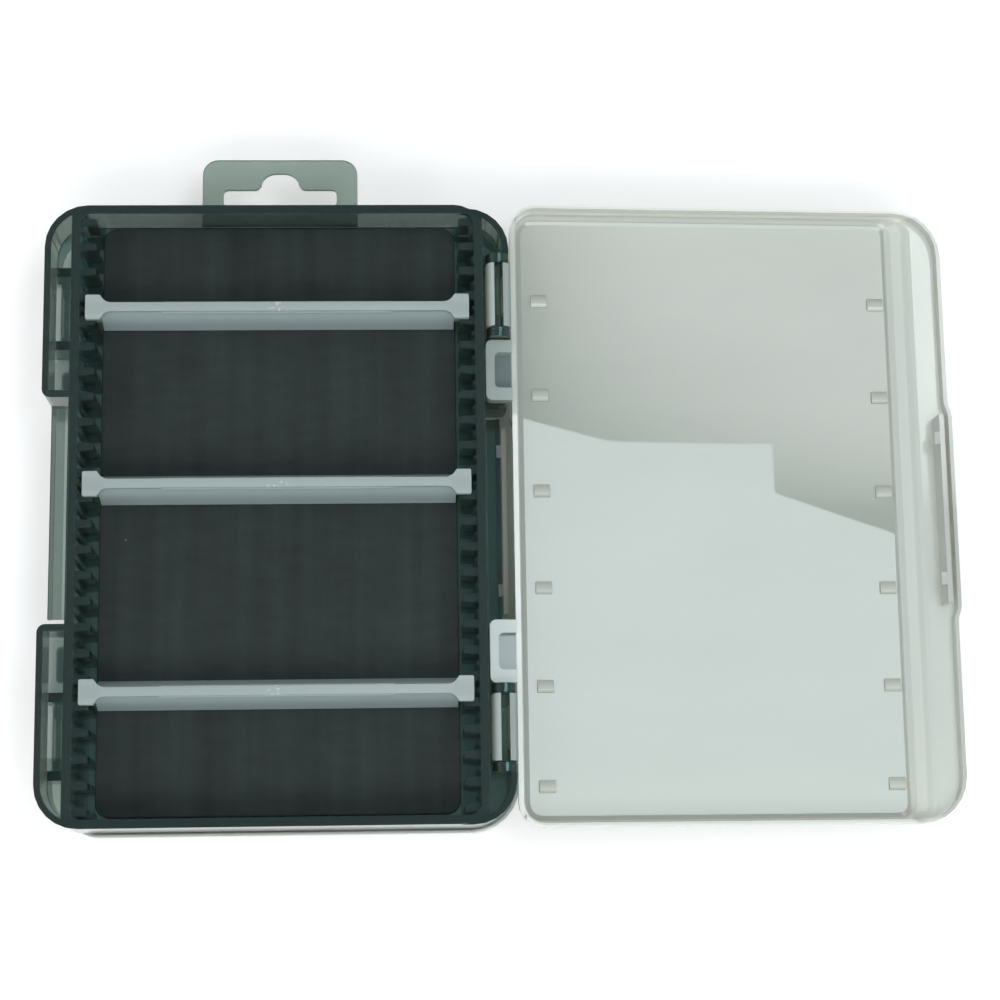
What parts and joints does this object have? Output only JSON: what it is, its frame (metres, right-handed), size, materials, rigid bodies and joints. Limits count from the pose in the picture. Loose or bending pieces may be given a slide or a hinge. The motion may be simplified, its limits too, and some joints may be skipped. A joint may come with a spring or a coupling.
{
  "type": "lure box",
  "caption": "Pocket tackle box opening on both faces: smoke body with comb walls, hinged milky lids, foam floors, lift-out dividers and a hanging tab.",
  "frame": {"origin": "centre of the flat outer face of the closed back lid, on which the box lies", "axes": "+X across the box towards the open front lid, +Y along the box towards the hanging tab, +Z out of the open front pocket"},
  "size_m": [0.2573, 0.1933, 0.0338],
  "materials": {
    "smoke_plastic": "translucent smoke grey-green, glossy",
    "milky_lid_plastic": "translucent milky white, satin",
    "milky_divider_plastic": "translucent milky grey, satin",
    "dark_foam": "matt closed-cell foam"
  },
  "bodies": {
    "base": {"base_body": "smoke_plastic", "front_foam_mat": "dark_foam", "back_foam_mat": "dark_foam"},
    "front_lid": {"front_lid": "milky_lid_plastic"},
    "back_lid": {"back_lid": "milky_lid_plastic"},
    "divider_upper": {"divider_upper": "milky_divider_plastic"},
    "divider_middle": {"divider_middle": "milky_divider_plastic"},
    "divider_lower": {"divider_lower": "milky_divider_plastic"}
  },
  "joints": [
    {"name": "front_lid_hinge", "type": "hinge", "parent": "base", "child": "front_lid", "pos_m": [0.06195, 0, 0.03025], "axis": [0, 1, 0], "range_deg": [-183, 0]},
    {"name": "back_lid_hinge", "type": "hinge", "parent": "base", "child": "back_lid", "pos_m": [-0.06195, 0, 0.00875], "axis": [0, 1, 0], "range_deg": [0, 183]},
    {"name": "divider_upper_lift", "type": "slide", "parent": "base", "child": "divider_upper", "axis": [0, 0, 1], "range_m": [0, 0.018]},
    {"name": "divider_middle_lift", "type": "slide", "parent": "base", "child": "divider_middle", "axis": [0, 0, 1], "range_m": [0, 0.018]},
    {"name": "divider_lower_lift", "type": "slide", "parent": "base", "child": "divider_lower", "axis": [0, 0, 1], "range_m": [0, 0.018]}
  ]
}
